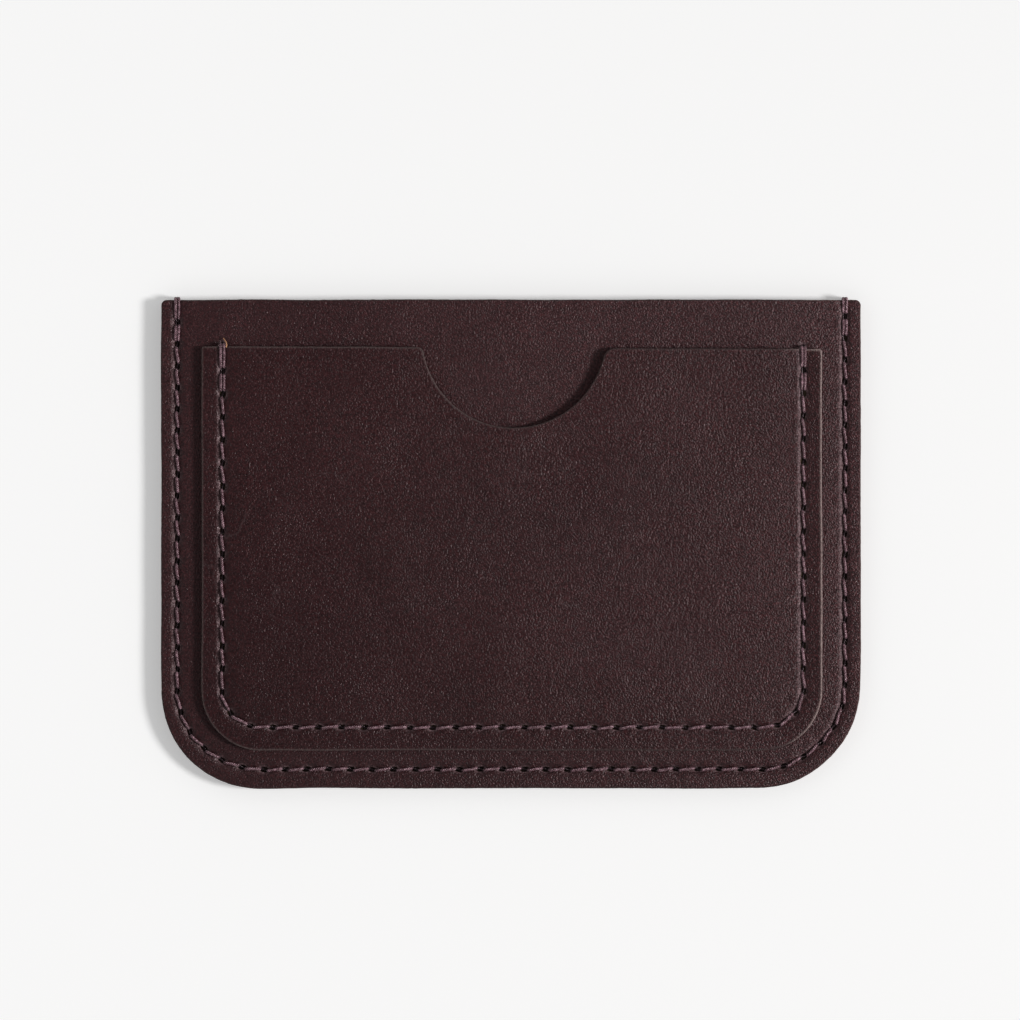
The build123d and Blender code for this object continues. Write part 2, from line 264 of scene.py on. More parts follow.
BODY_TOP = body_hi[1]
outer_line = seam_line(OUT_L, OUT_R, OUT_B, OUT_RL, OUT_RR, BODY_TOP + 1)
pocket_line = seam_line(POC_L, POC_R, POC_B, POC_RAD, POC_RAD, POCKET_TOP_LEFT + 1)
outer_holes = seam_holes(
    outer_line, BODY_TOP + 1, OUT_FIRST, OUT_LAST, OUT_N, BODY_TOP + 0.22, BODY_TOP + 0.22, 11
)
pocket_holes = seam_holes(
    pocket_line,
    POCKET_TOP_LEFT + 1,
    POC_FIRST,
    POC_LAST,
    POC_N,
    POCKET_TOP_LEFT + 0.36,
    POCKET_TOP_RIGHT + 0.36,
    12,
)

# sides and bottom only, run up past the mouth: the closed edge of the main pocket
closed_edge = seam_line(
    body_lo[0], body_hi[0], body_lo[1], BODY_R_LEFT, BODY_R_RIGHT, BODY_TOP + 40
)
long_pocket_line = seam_line(POC_L, POC_R, POC_B, POC_RAD, POC_RAD, BODY_TOP + 40)
long_outer_line = seam_line(OUT_L, OUT_R, OUT_B, OUT_RL, OUT_RR, BODY_TOP + 40)


# ============================================================ how the leather lies
relax = Waves(31, 18, 60)
ripple = Waves(32, 5, 14)


def seam_dip(points, line, holes, narrow, w, wide, w_wide, at_hole):
    """How far the stitches pull a surface in: along the seam, more at each hole, and for good outside it."""
    c, s, side = polyline_distance(points, line, False)
    _, sh, _ = polyline_distance(holes[:, :2], line, False)
    order = np.sort(sh)
    j = np.clip(np.searchsorted(order, s), 1, len(order) - 1)
    ds = np.minimum(np.abs(s - order[j - 1]), np.abs(s - order[j]))
    pull = np.exp(-((ds / 0.85) ** 2))
    dip = narrow * (0.7 + 0.3 * pull) * np.exp(-((c / w) ** 2))
    # the left side of the path, walking down the left edge, is the inner side
    dip = dip + np.where(side > 0, wide * np.exp(-((c / w_wide) ** 2)), wide)
    dip = dip + at_hole * pull * np.exp(-((c / (w * 1.5)) ** 2))
    # between two holes the leather swells up beside the stitch
    puff = (np.where(side > 0, 0.07, 0.02) + np.where(side > 0, 0.06, 0) * smooth((points[:, 0] - 20) / 20)) * np.exp(-(((c - 0.95) / 0.5) ** 2)) * (1 - pull)
    return dip - puff


def front_gap(points):
    """Height of the front panel's underside over the back panel."""
    d, _, side = polyline_distance(points, closed_edge, False)
    d = np.where(side > 0, d, 0)
    m = smooth((d - 2.6) / 7.5)
    x, y = points[:, 0], points[:, 1]
    mouth = np.exp(-(((BODY_TOP - y) / 17.0) ** 2)) * (1 - (x / 52.5) ** 2)
    dome = 1 - (x / 52.5) ** 2
    full = 0.30 + 0.34 * dome + 0.1 * mouth + 0.035 * relax(points)
    return GLUE + (full - GLUE + 0.02 * ripple(points)) * m


def front_top_flat(points):
    return Z_BACK_TOP + front_gap(points) + T_BODY


def pocket_gap(points):
    """Height of the pocket panel's underside over the front panel."""
    d, _, side = polyline_distance(points, long_pocket_line, False)
    x, y = points[:, 0], points[:, 1]
    inn = smooth((d - 0.2) / 3.2)
    mouth = np.exp(-(((mouth_y(x) - y) / 11.0) ** 2)) * (1 - np.abs(x / 46) ** 3)
    full = 0.10 + 0.14 * (1 - (x / 46.5) ** 2) + 0.14 * mouth + 0.03 * relax(points + 100)
    # outside the seam the free edge lifts a little
    free = (0.07 + 0.36 * smooth((x + 5) / 45)) * smooth((d - 0.4) / 2.6)
    return GLUE + np.where(side > 0, full * inn, free)


def pocket_top_flat(points):
    return front_top_flat(points) + pocket_gap(points) + T_POCKET


# ============================================================ panels
def ellipse(h, a, b, n, grow, r):
    x, y, tx, ty = h
    ang = np.linspace(0, 2 * math.pi, n, endpoint=False)
    e = 2 / 2.4
    ca, sa = np.cos(ang), np.sin(ang)
    u = (a + grow) * np.sign(ca) * np.abs(ca) ** e
    v = (b + grow) * np.sign(sa) * np.abs(sa) ** e
    return np.stack([x + u * tx - v * ty, y + u * ty + v * tx], 1)


def hole_set(holes, seed, wraps, n, tight=False):
    """Loops of one seam's holes through a panel; tight ones close on the thread."""
    r = np.random.default_rng(seed)
    out = []
    last = len(holes) - 1
    for i, h in enumerate(holes):
        tack = i in (0, 1, 2, last, last - 1, last - 2)
        a, b = (0.7, 0.5) if tack else (0.68, 0.42)
        if tight:
            a, b = (0.43, 0.42) if tack else (0.42, 0.24)
        a *= 1 + r.normal(0, 0.05)
        b *= 1 + r.normal(0, 0.07)
        turn = r.normal(0, 0.12)
        if i in (0, last) and not wraps:
            continue
        c, s = math.cos(turn), math.sin(turn)
        h = np.array([h[0], h[1], h[2] * c - h[3] * s, h[2] * s + h[3] * c])
        out.append((h, a, b, n, tack))
    return out


def seam_lip_painted_highlight(p, lines):
    """Painted highlight on the lip of leather beside a seam, where it faces the key light on the right; stronger
    towards the right.
    """
    out = np.zeros(len(p))
    for line in lines:
        c, _, _ = polyline_distance(p, line, False)
        c2, _, _ = polyline_distance(p + [0.02, 0], line, False)
        facing = np.clip((c - c2) / 0.02, 0, 1) ** 1.5
        band = np.exp(-(((c - 0.56) / 0.2) ** 2)) * facing
        out = np.maximum(out, band * (0.5 + 0.5 * smooth((p[:, 0] + 10) / 50)))
    return out


def make_panel(name, loop, hole_sets, top, bottom, rho_t, rho_b, bands, grid, seed, wall_rows=4, edge_highlight_from_x=None, seams=()):
    """A closed leather panel: rounded cut edges, stitch holes with walls, formed faces."""
    pts, edges, loops = [], [], []
    count = 0

    def put(arr, closed=False):
        nonlocal count
        arr = np.asarray(arr)
        idx = np.arange(count, count + len(arr))
        pts.append(arr)
        count += len(arr)
        if closed:
            edges.extend(zip(idx, np.roll(idx, -1)))
        return idx

    outer_idx = put(loop, True)
    normals = loop_normals(loop)
    for k in range(1, 6):
        d = rho_t * (1 - math.cos(math.radians(18 * k)))
        put(loop - normals * max(d, 0.012), True)

    centres = []
    for h, a, b, n, _ in hole_sets:
        idx = put(ellipse(h, a, b, n, 0, None), True)
        loops.append((idx, h))
        centres.append((h, a, b))
        for grow in (0.05, 0.12, 0.2, 0.3):
            put(ellipse(h, a, b, n, grow, None), True)
        put(ellipse(h, a, b, n, 0.43, None))
    hc = np.array([c[0][:4] for c in centres]).reshape(-1, 4)
    ha = np.array([[c[1], c[2]] for c in centres]).reshape(-1, 2)

    def hole_clear(p, margin):
        ok = np.ones(len(p), bool)
        for i in range(0, len(p), 4000):
            q = p[i : i + 4000]
            dx = q[:, None, 0] - hc[None, :, 0]
            dy = q[:, None, 1] - hc[None, :, 1]
            u = dx * hc[:, 2] + dy * hc[:, 3]
            v = -dx * hc[:, 3] + dy * hc[:, 2]
            g = (u / (ha[:, 0] + margin)) ** 2 + (v / (ha[:, 1] + margin)) ** 2
            ok[i : i + 4000] = (g > 1.05).all(1)
        return ok

    rho = max(rho_t, rho_b)

    def keep(p, edge_margin, margin):
        p = p[inside(p, loop)]
        d, _, _ = polyline_distance(p, loop, True)
        p = p[d > edge_margin]
        return p[hole_clear(p, margin)]

    # rings just inside the rounding
    for d in (rho + 0.16, rho + 0.4):
        ring = loop - normals * d
        put(keep(ring, d - 0.04, 0.5))

    band_lines = []
    for line, step, offsets in bands:
        _, _, total = along(line, 0.0)
        s = np.arange(0.1, total, step)
        p, t, _ = along(line, s)
        n = np.stack([-t[:, 1], t[:, 0]], 1)
        for k, o in enumerate(offsets):
            q, _, _ = along(line, s + (step / 2 if k % 2 else 0))
            put(keep(q + n * o, rho + 0.55, 0.52))
        band_lines.append((line, max(abs(o) for o in offsets) + 0.25))

    lo, hi = loop.min(0), loop.max(0)
    gx = np.arange(lo[0], hi[0], grid)
    gy = np.arange(lo[1], hi[1], grid * 0.866)
    X, Y = np.meshgrid(gx, gy)
    X = X + (np.arange(len(gy))[:, None] % 2) * grid / 2
    g = np.stack([X.ravel(), Y.ravel()], 1)
    g = g + np.random.default_rng(seed).uniform(-0.08, 0.08, g.shape) * grid
    g = keep(g, rho + 0.75, 0.55)
    for line, w in band_lines:
        c, _, _ = polyline_distance(g, line, False)
        g = g[c > w]
    put(g)

    xy = np.vstack(pts)
    # drop points that nearly coincide, keeping the first
    key = np.round(xy / 0.004).astype(np.int64)
    _, first = np.unique(key, axis=0, return_index=True)
    if len(first) != len(xy):
        keep_mask = np.zeros(len(xy), bool)
        keep_mask[first] = True
        n_constrained = max(max(e) for e in edges) + 1
        keep_mask[:n_constrained] = True
        remap = np.cumsum(keep_mask) - 1
        xy = xy[keep_mask]
        edges = [(int(remap[a]), int(remap[b])) for a, b in edges]
        outer_idx = remap[outer_idx]
        loops = [(remap[i], h) for i, h in loops]

    res = delaunay_2d_cdt(
        [Vector(p) for p in xy], [(int(a), int(b)) for a, b in edges], [], 0, 1e-5, True
    )
    out_v, out_f, orig = res[0], res[2], res[3]
    v2 = np.array([[v.x, v.y] for v in out_v])
    source = {}
    for i, o in enumerate(orig):
        for j in o:
            source[j] = i
    outer_idx = np.array([source[int(i)] for i in outer_idx])
    loops = [(np.array([source[int(i)] for i in idx]), h) for idx, h in loops]
    tri = np.array([f for f in out_f if len(f) == 3])
    cen = v2[tri].mean(1)
    ok = inside(cen, loop)
    cx = cen[ok]
    bad = np.zeros(len(cx), bool)
    for (idx, h) in loops:
        lp = v2[idx]
        near = np.abs(cx - h[:2]).max(1) < 1.0
        if near.any():
            w = np.where(near)[0]
            bad[w] |= inside(cx[w], lp)
    tri = tri[ok][~bad]
    # consistent winding, counter-clockwise seen from above
    a, b, c = v2[tri[:, 0]], v2[tri[:, 1]], v2[tri[:, 2]]
    area = (b[:, 0] - a[:, 0]) * (c[:, 1] - a[:, 1]) - (b[:, 1] - a[:, 1]) * (
        c[:, 0] - a[:, 0]
    )
    tri = tri[np.abs(area) > 1e-9]
    area = area[np.abs(area) > 1e-9]
    tri[area < 0] = tri[area < 0][:, ::-1]
    used = np.unique(tri)
    new = -np.ones(len(v2), int)
    new[used] = np.arange(len(used))
    tri = new[tri]
    outer_idx = new[outer_idx]
    loops = [(new[i], h) for i, h in loops]
    v2 = v2[used]

    d_edge, s_edge, _ = polyline_distance(v2, loop, True)
    zt, zb = top(v2), bottom(v2)

    def drop(d, r):
        u = np.clip(1 - d / r, 0, 1)
        return r * (1 - np.sqrt(np.clip(1 - u * u, 0, 1)))

    zt = zt - drop(d_edge, rho_t)
    zb = zb + drop(d_edge, rho_b)
    # the rim of each hole is pulled in and rounded
    rim = np.zeros(len(v2))
    if len(hc):
        for i in range(0, len(v2), 4000):
            q = v2[i : i + 4000]
            dx = q[:, None, 0] - hc[None, :, 0]
            dy = q[:, None, 1] - hc[None, :, 1]
            u = dx * hc[:, 2] + dy * hc[:, 3]
            v = -dx * hc[:, 3] + dy * hc[:, 2]
            g = np.sqrt((u / ha[:, 0]) ** 2 + (v / ha[:, 1]) ** 2)
            far = np.maximum(g - 1, 0) * ha.mean(1)
            rim[i : i + 4000] = np.exp(-((far / 0.24) ** 2)).max(1)
        zt = zt - 0.17 * rim
        zb = zb + 0.07 * rim

    n = len(v2)
    verts = [np.column_stack([v2, zt]), np.column_stack([v2, zb])]
    faces = [tuple(t) for t in tri] + [tuple(t[::-1] + n) for t in tri]
    total = 2 * n
    # painted highlight: from that x on, the cut edge's colour band widens, where the edge faces the key light
    width = 0.2 if edge_highlight_from_x is None else 0.2 + 0.1 * smooth((v2[:, 0] - edge_highlight_from_x) / 4)
    edge_mask = [
        np.clip(1.25 - d_edge / width, 0, 1),
        np.clip(1 - d_edge / 0.2, 0, 1),
    ]
    # the rim attribute is a painted highlight mask: hole rims, and the seam lip facing the key light
    painted_highlight_mask = [np.maximum(rim, seam_lip_painted_highlight(v2, seams)), rim * 0]

    def wall(idx, rows_xy, mask):
        """Quads from the top loop down to the bottom loop through the given rows."""
        nonlocal total
        rows = [idx]
        m = len(rows_xy)
        for k, xyk in enumerate(rows_xy):
            f = (k + 1) / (m + 1)
            z = zt[idx] * (1 - f) + zb[idx] * f
            verts.append(np.column_stack([xyk, z]))
            edge_mask.append(np.full(len(idx), mask))
            painted_highlight_mask.append(np.zeros(len(idx)))
            rows.append(np.arange(total, total + len(idx)))
            total += len(idx)
        rows.append(idx + n)
        for r0, r1 in zip(rows[:-1], rows[1:]):
            r0n, r1n = np.roll(r0, -1), np.roll(r1, -1)
            faces.extend(zip(r0, r1, r1n, r0n))

    nrm = loop_normals(v2[outer_idx])
    rough = [Waves(seed + 40 + k, 0.35, 1.1) for k in range(wall_rows)]
    rows_xy = []
    for k in range(wall_rows):
        f = (k + 1) / (wall_rows + 1)
        bulge = 0.018 * math.sin(math.pi * f)
        rows_xy.append(
            v2[outer_idx] + nrm * (bulge + 0.012 * rough[k](v2[outer_idx]))[:, None]
        )
    wall(outer_idx, rows_xy, 1.0)
    for idx, h in loops:
        c = v2[idx].mean(0)
        ring = v2[idx]
        # a hole loop runs counter-clockwise, so its wall is wound the other way
        wall(idx[::-1], [c + (ring[::-1] - c) * 0.86, c + (ring[::-1] - c) * 0.86], 0.0)

    co = np.vstack(verts) * MM
    mesh = bpy.data.meshes.new(name)
    mesh.from_pydata(co.tolist(), [], [tuple(int(i) for i in f) for f in faces])
    mesh.validate()
    mesh.update()
    mesh.polygons.foreach_set("use_smooth", [True] * len(mesh.polygons))
    att = mesh.attributes.new("edge", "FLOAT", "POINT")
    att.data.foreach_set("value", np.concatenate(edge_mask).astype(np.float32))
    # the rim attribute carries the painted highlight mask
    att = mesh.attributes.new("rim", "FLOAT", "POINT")
    att.data.foreach_set("value", np.concatenate(painted_highlight_mask).astype(np.float32))
    obj = bpy.data.objects.new(name, mesh)
    bpy.context.collection.objects.link(obj)
    return obj


BAND = [0.0, 0.22, -0.22, 0.45, -0.45, 0.7, -0.7, 1.0, -1.0, 1.4, -1.4, 1.9, -1.9]

body_outline = wobble(body_loop(0, 0.62, 0.42), 0.035, 0.006, 51)
pocket_outline = wobble(pocket_loop(0.62, 0.36), 0.03, 0.005, 61)


def front_top(p):
    z = front_top_flat(p)
    tight = 0.21 + 0.07 * smooth((p[:, 0] + 10) / 45)
    z = z - seam_dip(p, long_outer_line, outer_holes, tight, 0.6, 0.16, 1.2, 0.06)
    return z


def front_bottom(p):
    z = Z_BACK_TOP + front_gap(p)
    c, _, _ = polyline_distance(p, pocket_line, False)
    return z + 0.40 * np.exp(-((c / 0.55) ** 4))


def back_top(p):
    return np.full(len(p), Z_BACK_TOP)


def back_bottom(p):
    c, s, _ = polyline_distance(p, long_outer_line, False)
    d, _, _ = polyline_distance(p, closed_edge, False)
    groove = 0.42 * np.exp(-((c / 0.58) ** 4)) + 0.05 * np.exp(-((c / 1.3) ** 2))
    return groove + 0.012 * np.maximum(1 + ripple(p), 0) * smooth((d - 4) / 6)


def pocket_top(p):
    z = pocket_top_flat(p)
    return z - seam_dip(p, long_pocket_line, pocket_holes, 0.18, 0.52, 0.09, 0.95, 0.06)


def pocket_bottom(p):
    return front_top_flat(p) + pocket_gap(p)


holes_outer = hole_set(outer_holes, 71, False, 14)
holes_outer_back = hole_set(outer_holes, 71, False, 14, True)
holes_pocket = hole_set(pocket_holes, 72, False, 14)
holes_pocket_front = hole_set(pocket_holes, 72, True, 14, True)

back = make_panel(
    "back_leather", body_outline, holes_outer_back, back_top, back_bottom,
    0.18, 0.3, [(outer_line, 0.45, BAND[:9])], 1.9, 81,
)
front = make_panel(
    "front_leather", body_outline, holes_outer + holes_pocket_front, front_top, front_bottom,
    0.28, 0.15, [(outer_line, 0.3, BAND)], 1.5, 82, seams=(outer_line,),
)
pocket = make_panel(
    "pocket_leather", pocket_outline, holes_pocket, pocket_top, pocket_bottom,
    0.2, 0.12, [(pocket_line, 0.3, BAND)], 1.4, 83, edge_highlight_from_x=41.5, seams=(pocket_line,),
)


# ============================================================ adhesive strips
def make_strip(name, outer, line_in, holes, low, high):
    """A thin U of dried cement between an outer loop and an inner seam line."""
    def clip_hole(h):
        return ellipse(h[0], 0.19, 0.18, 12, 0, None)

    pts, edges, count = [], [], 0

    def put(arr, closed=True):
        nonlocal count
        idx = np.arange(count, count + len(arr))
        pts.append(np.asarray(arr))
        count += len(arr)
        if closed:
            edges.extend(zip(idx.tolist(), np.roll(idx, -1).tolist()))
        return idx

    band = np.vstack([outer, line_in[::-1]])
    outer_idx = put(band)
    loops = []
    for h in holes:
        e = clip_hole(h)
        if h[4]:
            continue
        if inside(e, band).all() and polyline_distance(e, band, True)[0].min() > 0.03:
            loops.append(put(e))
    xy = np.vstack(pts)
    res = delaunay_2d_cdt([Vector(p) for p in xy], edges, [], 0, 1e-5, True)
    v2 = np.array([[v.x, v.y] for v in res[0]])
    source = {j: i for i, o in enumerate(res[3]) for j in o}
    tri = np.array([f for f in res[2] if len(f) == 3])
    cen = v2[tri].mean(1)
    ok = inside(cen, band)
    for idx in loops:
        ok &= ~inside(cen, xy[idx])
    tri = tri[ok]
    a, b, c = v2[tri[:, 0]], v2[tri[:, 1]], v2[tri[:, 2]]
    area = (b[:, 0] - a[:, 0]) * (c[:, 1] - a[:, 1]) - (b[:, 1] - a[:, 1]) * (c[:, 0] - a[:, 0])
    tri = tri[np.abs(area) > 1e-9]
    area = area[np.abs(area) > 1e-9]
    tri[area < 0] = tri[area < 0][:, ::-1]
    n = len(v2)
    zl, zh = low(v2), high(v2)
    co = np.vstack([np.column_stack([v2, zh]), np.column_stack([v2, zl])]) * MM
    faces = [tuple(int(i) for i in t) for t in tri]
    faces += [tuple(int(i) + n for i in t[::-1]) for t in tri]
    outer_idx = np.array([source[int(i)] for i in outer_idx])
    for idx, flip in [(outer_idx, False)] + [
        (np.array([source[int(i)] for i in l]), True) for l in loops
    ]:
        idx = idx[::-1] if flip else idx
        nx = np.roll(idx, -1)
        faces += [
            (int(p), int(p) + n, int(q) + n, int(q)) for p, q in zip(idx, nx)
        ]
    mesh = bpy.data.meshes.new(name)
    mesh.from_pydata(co.tolist(), [], faces)
    mesh.validate()
    mesh.update()
    obj = bpy.data.objects.new(name, mesh)
    bpy.context.collection.objects.link(obj)
    return obj


def u_line(l, r, b, rl, rr, top):
    h = math.pi
    pts = seg((l, top), (l, b + rl), 0.8)
    pts += arc((l + rl, b + rl), rl, h, 1.5 * h, 0.6)
    pts += seg((l + rl, b), (r - rr, b), 0.8)
    pts += arc((r - rr, b + rr), rr, 1.5 * h, 2 * h, 0.6)
    pts += seg((r, b + rr), (r, top), 0.8)
    return np.array(pts + [np.array([r, top])])


def u_body(inset, top):
    return u_line(
        body_lo[0] + inset, body_hi[0] - inset, body_lo[1] + inset,
        BODY_R_LEFT - inset, BODY_R_RIGHT - inset, top,
    )


outer_glue = make_strip(
    "outer_seam_cement",
    u_body(0.3, BODY_TOP - 0.4),
    u_body(3.5, BODY_TOP - 0.4),
    holes_outer,
    lambda p: np.full(len(p), Z_BACK_TOP + 0.004),
    lambda p: Z_BACK_TOP + front_gap(p) - 0.004,
)
pocket_glue = make_strip(
    "pocket_seam_cement",
    u_line(pocket_lo[0] + 0.35, pocket_hi[0] - 0.35, pocket_lo[1] + 0.35,
           POCKET_R - 0.35, POCKET_R - 0.35, POCKET_TOP_RIGHT - 0.5),
    u_line(POC_L + 0.45, POC_R - 0.45, POC_B + 0.45, POC_RAD - 0.45, POC_RAD - 0.45,
           POCKET_TOP_RIGHT - 0.5),
    holes_pocket,
    lambda p: front_top_flat(p) + 0.004,
    lambda p: front_top_flat(p) + pocket_gap(p) - 0.004,
)


# ============================================================ threads
def thread_passes(holes, along_off, slant, apart, seed):
    """(departure, arrival) of every stitch, in sewing order, with back-tacks at each end."""
    r = np.random.default_rng(seed)
    last = len(holes) - 1

    def leg(i, a, c):
        x, y, tx, ty = holes[i]
        if i in (0, last):
            a = 0.0
        return np.array([x + a * tx - c * ty, y + a * ty + c * tx])

    o = along_off
    out = []
    for i in (2, 1):
        out.append((leg(i, -o, -apart), leg(i - 1, o, -apart), 1))
    for i in (0, 1):
        out.append((leg(i, o, apart), leg(i + 1, -o, apart), 2))
    for i in range(2, last - 2):
        w = r.normal(0, 0.02, 2)
        out.append((leg(i, o, -slant + w[0]), leg(i + 1, -o, slant + w[1]), 0))
    for i in (last - 2, last - 1):
        out.append((leg(i, o, apart), leg(i + 1, -o, apart), 2))
    for i in (last, last - 1):
        out.append((leg(i, -o, -apart), leg(i - 1, o, -apart), 1))
    return out


def thread_path(passes, z_run, z_meet, up, bend, arch, seed):
    """Centre line of one thread, as dense points."""
    r = np.random.default_rng(seed)
    P = []
    z_from = None
    for n, (a, b, kind) in enumerate(passes):
        za, zb = float(z_run(a[None])[0]), float(z_run(b[None])[0])
        meet = z_meet(0.5 * (a + b))
        span = np.linalg.norm(b - a)
        u = (b - a) / span
        rise = up * (arch + r.normal(0, 0.012)) + (up * 0.02 if kind == 2 else 0)
        bow = r.normal(0, 0.025)
        side = np.array([-u[1], u[0]])
        if z_from is None:
            z_from = meet + up * 0.15
        zc = za - up * bend
        for f in np.linspace(0, 1, 4)[:-1]:
            P.append([*a, z_from + (zc - z_from) * f])
        for t in np.linspace(0, math.pi / 2, 7)[:-1]:
            q = a + u * bend * (1 - math.cos(t))
            P.append([*q, zc + up * bend * math.sin(t)])
        m = 9
        for k in range(m + 1):
            f = k / m
            q = a + u * (bend + (span - 2 * bend) * f) + side * bow * math.sin(math.pi * f)
            # the high point sits past the middle, where the thread is drawn down
            g = math.sin(math.pi * f**1.15)
            P.append([*q, za + (zb - za) * f + rise * g])
        zc2 = zb - up * bend
        for t in np.linspace(math.pi / 2, 0, 7)[1:]:
            q = b - u * bend * (1 - math.cos(t))
            P.append([*q, zc2 + up * bend * math.sin(t)])
        if n == len(passes) - 1:
            P.append([*b, meet + up * 0.15])
            break
        c = passes[n + 1][0]
        gap = np.linalg.norm(c - b)
        rc = min(gap / 2, 0.2)
        over = (c - b) / gap
        z_loop = meet + up * rc
        if (zc2 - z_loop) * up > 0.05:
            P.append([*b, (zc2 + z_loop) / 2])
        for t in np.linspace(0, math.pi / 2, 6):
            P.append([*(b + over * rc * (1 - math.cos(t))), z_loop - up * rc * math.sin(t)])
        for t in np.linspace(math.pi / 2, 0, 6):
            P.append([*(c - over * rc * (1 - math.cos(t))), z_loop - up * rc * math.sin(t)])
        z_from = z_loop + up * 0.02
    P = np.array(P)
    d = np.linalg.norm(np.diff(P, axis=0), axis=1)
    P = P[np.concatenate([[True], d > 1e-4])]
    d = np.linalg.norm(np.diff(P, axis=0), axis=1)
    s = np.concatenate([[0], np.cumsum(d)])
    m = int(s[-1] / 0.115)
    u = np.linspace(0, s[-1], m)
    Q = np.stack([np.interp(u, s, P[:, i]) for i in range(3)], 1)
    for _ in range(2):
        Q[1:-1] = 0.5 * Q[1:-1] + 0.25 * (Q[:-2] + Q[2:])
    # mask for painted shade: how far the thread sinks below its run, into the holes
    painted_hole_shade = np.clip((up * (z_run(Q[:, :2]) - Q[:, 2]) - 0.16) / 0.28, 0, 1)
    return Q, painted_hole_shade


def fibre_tube(points, r0, r1, sides=7):
    """A closed, tapered tube through a few points."""
    p = np.array(points, float)
    t = np.linspace(0, len(p) - 1, 4 * (len(p) - 1) + 1)
    q = np.stack([np.interp(t, np.arange(len(p)), p[:, i]) for i in range(3)], 1)
    for _ in range(3):
        q[1:-1] = 0.5 * q[1:-1] + 0.25 * (q[:-2] + q[2:])
    d = np.gradient(q, axis=0)
    d /= np.linalg.norm(d, axis=1)[:, None]
    ref = np.array([0.3, 0.2, 1.0])
    n = np.cross(d, ref)
    n /= np.linalg.norm(n, axis=1)[:, None]
    b = np.cross(d, n)
    a = np.arange(sides) * 2 * math.pi / sides
    r = np.linspace(r0, r1, len(q))[:, None, None]
    v = q[:, None] + r * (np.cos(a)[None, :, None] * n[:, None] + np.sin(a)[None, :, None] * b[:, None])
    v = np.vstack([v.reshape(-1, 3), q[0] - d[0] * r0 * 0.5, q[-1] + d[-1] * r1 * 0.5])
    f = []
    k = len(q)
    for i in range(k - 1):
        for j in range(sides):
            j2 = (j + 1) % sides
            f.append((i * sides + j, i * sides + j2, (i + 1) * sides + j2, (i + 1) * sides + j))
    for j in range(sides):
        j2 = (j + 1) % sides
        f.append((k * sides, j2, j))
        f.append((k * sides + 1, (k - 1) * sides + j, (k - 1) * sides + j2))
    return v, f


def stray_fibres(Q, count, seed):
    """Loose ends of filament that stand off a thread here and there."""
    r = np.random.default_rng(seed)
    out = []
    for i in r.integers(40, len(Q) - 40, count * 6):
        if Q[i, 2] < Q[max(0, i - 60) : i + 60, 2].max() - 0.04 or len(out) >= count:
            continue
        a = r.uniform(0, 2 * math.pi)
        L = r.uniform(0.4, 0.9)
        e = np.array([math.cos(a), math.sin(a), 0])
        e2 = np.array([-e[1], e[0], 0]) * r.uniform(-0.5, 0.5)
        p0 = Q[i] + np.array([0, 0, 0.1])
        out.append(([p0, p0 + (e * 0.35 + e2 * 0.1) * L + [0, 0, 0.12], p0 + (e * 0.75 + e2 * 0.6) * L + [0, 0, 0.12], p0 + (e + e2) * L + [0, 0, 0.04]], 0.022, 0.012, 0.0))
    return out


